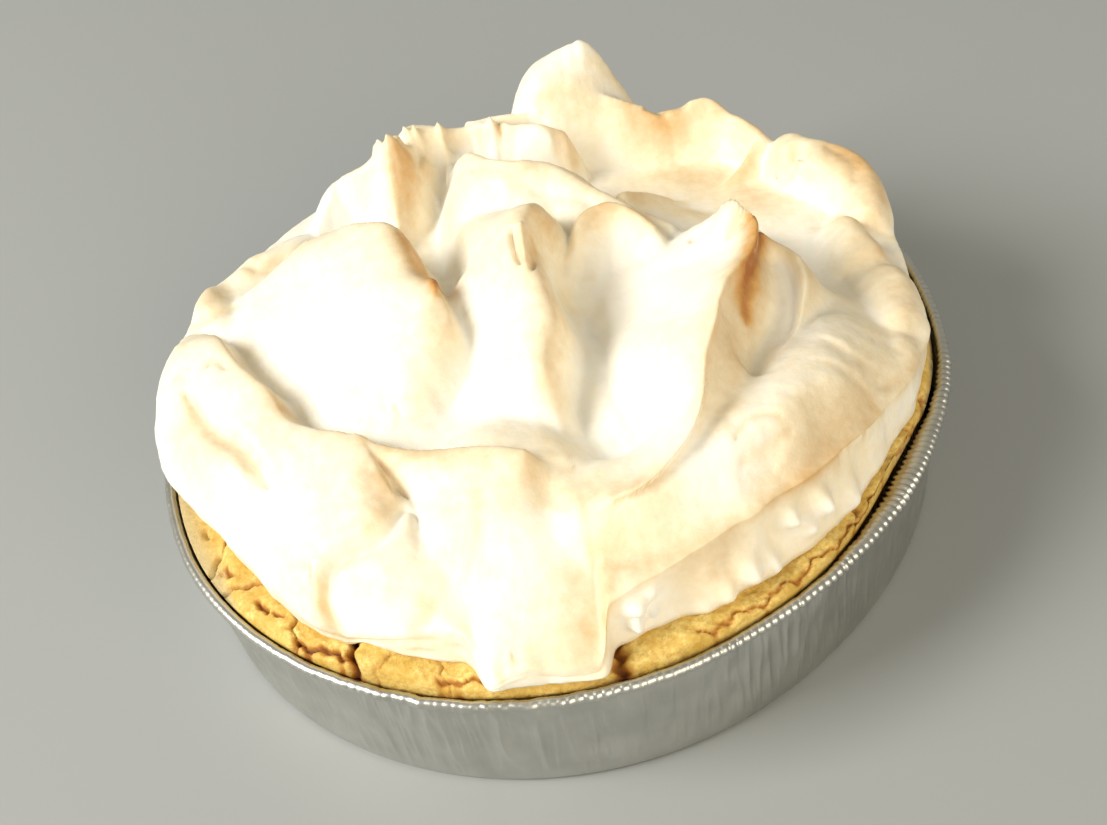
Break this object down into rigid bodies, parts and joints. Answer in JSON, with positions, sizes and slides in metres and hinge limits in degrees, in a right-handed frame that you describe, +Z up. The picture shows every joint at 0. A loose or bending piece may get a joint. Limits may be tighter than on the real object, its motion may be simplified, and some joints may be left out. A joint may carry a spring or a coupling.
{
  "type": "lemon meringue pie",
  "caption": "Round pie in a foil dish: solid pastry case with a raised crumbly rim under a deep layer of meringue in peaked swirls.",
  "frame": {"origin": "centre of the foil dish's flat base, on the surface that it rests on", "axes": "+Z up, -Y towards the side where the meringue hangs over the crust, +X to the right seen from there"},
  "size_m": [0.1702, 0.1698, 0.068],
  "materials": {
    "foil": "pressed thin foil, satin, with fine drawn creases and a crimped edge",
    "pastry": "golden baked shortcrust, matt and crumbly",
    "meringue": "baked meringue, ivory white, toasted tan along the crests"
  },
  "bodies": {
    "root": {"foil_dish": "foil", "pastry_case": "pastry", "meringue": "meringue"}
  },
  "joints": []
}
